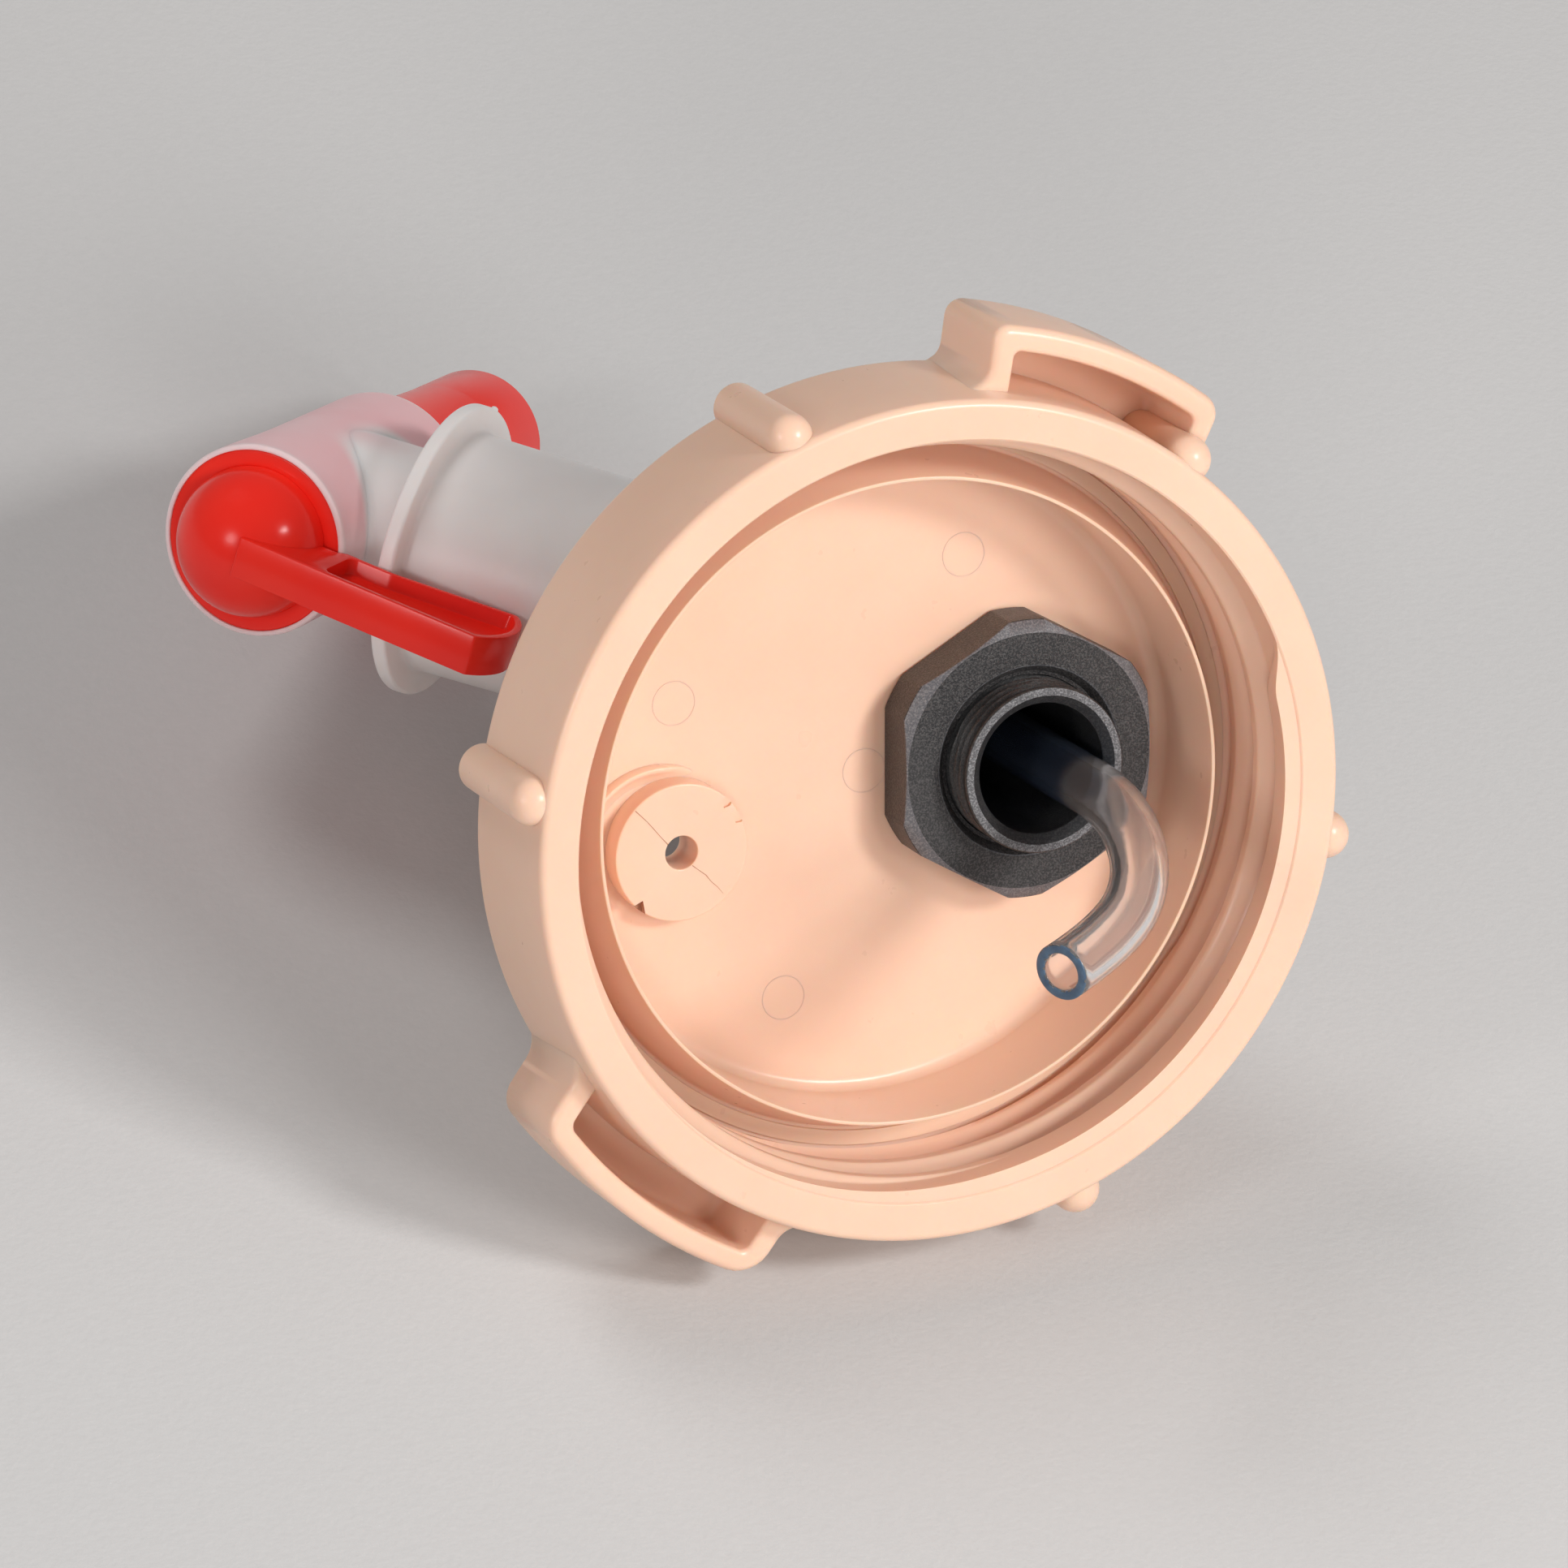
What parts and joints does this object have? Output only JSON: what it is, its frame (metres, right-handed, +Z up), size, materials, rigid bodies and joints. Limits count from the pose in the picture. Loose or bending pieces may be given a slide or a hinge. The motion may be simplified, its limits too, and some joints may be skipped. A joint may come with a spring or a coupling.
{
  "type": "container lid with lever tap",
  "caption": "Wide-mouth screw lid with strap loops, a pipe nipple and lock nut through its plate, an elbow with a quarter-turn lever tap, and a soft vent tube.",
  "frame": {"origin": "on the floor, under the middle of the lid and tap as they lie; the soft tube is left out of the middle", "axes": "+Z up; the lid's opening faces -Y and tilts up about 24 degrees; +Y runs back towards the tap; +X is to the right of someone facing the opening"},
  "size_m": [0.145, 0.2248, 0.1354],
  "materials": {
    "lid_plastic": "moulded polypropylene, satin gloss, peach",
    "gasket_rubber": "soft foam ring, orange-brown",
    "pipe_plastic": "glass-filled plastic, black",
    "nut_plastic": "glass-filled plastic, black satin",
    "washer_rubber": "smooth black rubber",
    "elbow_plastic": "moulded plastic, black",
    "seal_rubber": "smooth black rubber",
    "tap_plastic": "natural translucent polyethylene",
    "plug_plastic": "glossy red moulding",
    "holder_plastic": "natural polyethylene",
    "tube_plastic": "clear soft vinyl"
  },
  "bodies": {
    "lid": {"lid_cap": "lid_plastic", "lid_gasket": "gasket_rubber", "threaded_nipple": "pipe_plastic", "lock_nut": "nut_plastic", "seal_washer": "washer_rubber", "pipe_elbow": "elbow_plastic", "shank_o_ring_front": "seal_rubber", "shank_o_ring_rear": "seal_rubber", "tap_body": "tap_plastic", "vent_holder": "holder_plastic", "vent_tube": "tube_plastic"},
    "plug": {"valve_plug": "plug_plastic"}
  },
  "joints": [
    {"name": "lever_turn", "type": "hinge", "parent": "lid", "child": "plug", "pos_m": [-0.0431, 0.05729, 0.03455], "axis": [-0.706, -0.6001, 0.376], "range_deg": [0, 90]}
  ]
}
